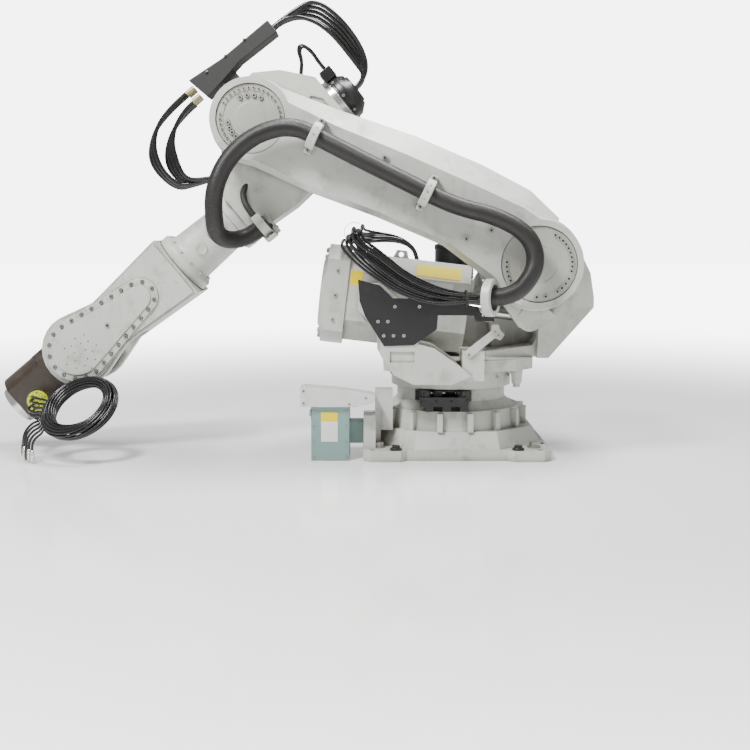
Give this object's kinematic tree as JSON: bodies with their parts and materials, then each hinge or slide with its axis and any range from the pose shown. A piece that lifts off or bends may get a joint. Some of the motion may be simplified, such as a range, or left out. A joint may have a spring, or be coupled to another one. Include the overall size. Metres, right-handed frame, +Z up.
{
  "type": "industrial robot arm",
  "caption": "Floor-standing industrial robot arm with a turning base, a leaning arm, a rolling forearm, a forked wrist and a hose along its side.",
  "frame": {"origin": "point where the turning axis meets the underside of the foot plate", "axes": "+Z up along the turning axis, +X towards the robot's front (the side the shoulder axis is offset to), +Y away from the side that carries the hose"},
  "size_m": [2.4565, 0.894, 1.8156],
  "materials": {
    "white_paint": "satin",
    "bright_steel": "satin",
    "black_paint": "satin",
    "black_rubber": "satin",
    "grey_blue_paint": "satin",
    "bronze_paint": "satin",
    "yellow_plastic": "satin"
  },
  "bodies": {
    "base": {"base_casting": "white_paint", "foundation_bolts": "bright_steel", "levelling_caps": "black_rubber", "stop_bracket": "black_paint", "connector_box": "grey_blue_paint", "connector_cover": "white_paint"},
    "turret": {"turret_casting": "white_paint", "trunnion_carrier": "white_paint", "shoulder_frame": "white_paint", "shoulder_gearbox": "white_paint", "shoulder_motor": "black_paint", "turn_motor": "black_paint", "stop_post": "white_paint", "cable_plate": "black_paint", "cable_ring": "white_paint", "strap_bracket": "white_paint", "cable_loom": "black_rubber", "hose_shoulder_loop": "black_rubber"},
    "balancer": {"balancer_housing": "white_paint", "balancer_cap": "white_paint"},
    "balancer_rod": {"balance_rod": "bright_steel"},
    "lower_arm": {"lower_arm_casting": "white_paint", "elbow_cover": "white_paint", "shoulder_cover": "white_paint", "tail_pin": "bright_steel", "hose_clamps": "white_paint", "hose_on_arm": "black_rubber", "hose_elbow_loop": "black_rubber"},
    "upper_arm": {"elbow_housing": "white_paint", "elbow_motor": "black_paint", "roll_motor_ring": "bright_steel", "roll_motor": "black_paint", "hose_bracket": "white_paint", "cable_carrier": "black_rubber", "carrier_sockets": "bright_steel", "carrier_cords": "black_rubber"},
    "forearm": {"forearm_tube": "white_paint", "wrist_housing": "white_paint", "wrist_covers": "white_paint"},
    "wrist": {"wrist_head": "bronze_paint", "cable_outlet": "yellow_plastic", "cable_coil": "black_rubber", "cable_tails": "black_rubber", "wrist_plugs": "bright_steel"},
    "tool_plate": {"tool_flange": "bright_steel"}
  },
  "joints": [
    {"name": "turn", "type": "hinge", "parent": "base", "child": "turret", "pos_m": [0, 0, 0.275], "axis": [0, 0, 1], "range_deg": [-170, 170]},
    {"name": "shoulder", "type": "hinge", "parent": "turret", "child": "lower_arm", "pos_m": [0.32, 0, 0.78], "axis": [0, 1, 0], "range_deg": [-1.5, 148.5], "deforming": ["hose_shoulder_loop"]},
    {"name": "elbow", "type": "hinge", "parent": "lower_arm", "child": "upper_arm", "pos_m": [-0.79867, 0, 1.33775], "axis": [0, -1, 0], "range_deg": [-226.5, 23.5], "deforming": ["hose_elbow_loop"]},
    {"name": "forearm_roll", "type": "hinge", "parent": "upper_arm", "child": "forearm", "pos_m": [-0.90726, 0, 0.95253], "axis": [0.7655, 0, 0.6435], "range_deg": [-300, 300]},
    {"name": "wrist_bend", "type": "hinge", "parent": "forearm", "child": "wrist", "pos_m": [-1.5342, 0, 0.42554], "axis": [0, 1, 0], "range_deg": [-120, 120]},
    {"name": "flange_turn", "type": "hinge", "parent": "wrist", "child": "tool_plate", "pos_m": [-1.80594, 0, 0.19711], "axis": [-0.7655, 0, -0.6435], "range_deg": [-360, 360]},
    {"name": "balancer_tilt", "type": "hinge", "parent": "turret", "child": "balancer", "pos_m": [-0.33, 0, 0.631], "axis": [0, 1, 0], "range_deg": [-42, 2]},
    {"name": "rod_pivot", "type": "hinge", "parent": "lower_arm", "child": "balancer_rod", "pos_m": [0.30195, 0, 0.55573], "axis": [0, 1, 0], "range_deg": [-190, 3]}
  ],
  "couplings": [
    {"joint": "balancer_tilt", "follows": "shoulder", "ratio": -0.265},
    {"joint": "rod_pivot", "follows": "shoulder", "ratio": -1.265}
  ]
}
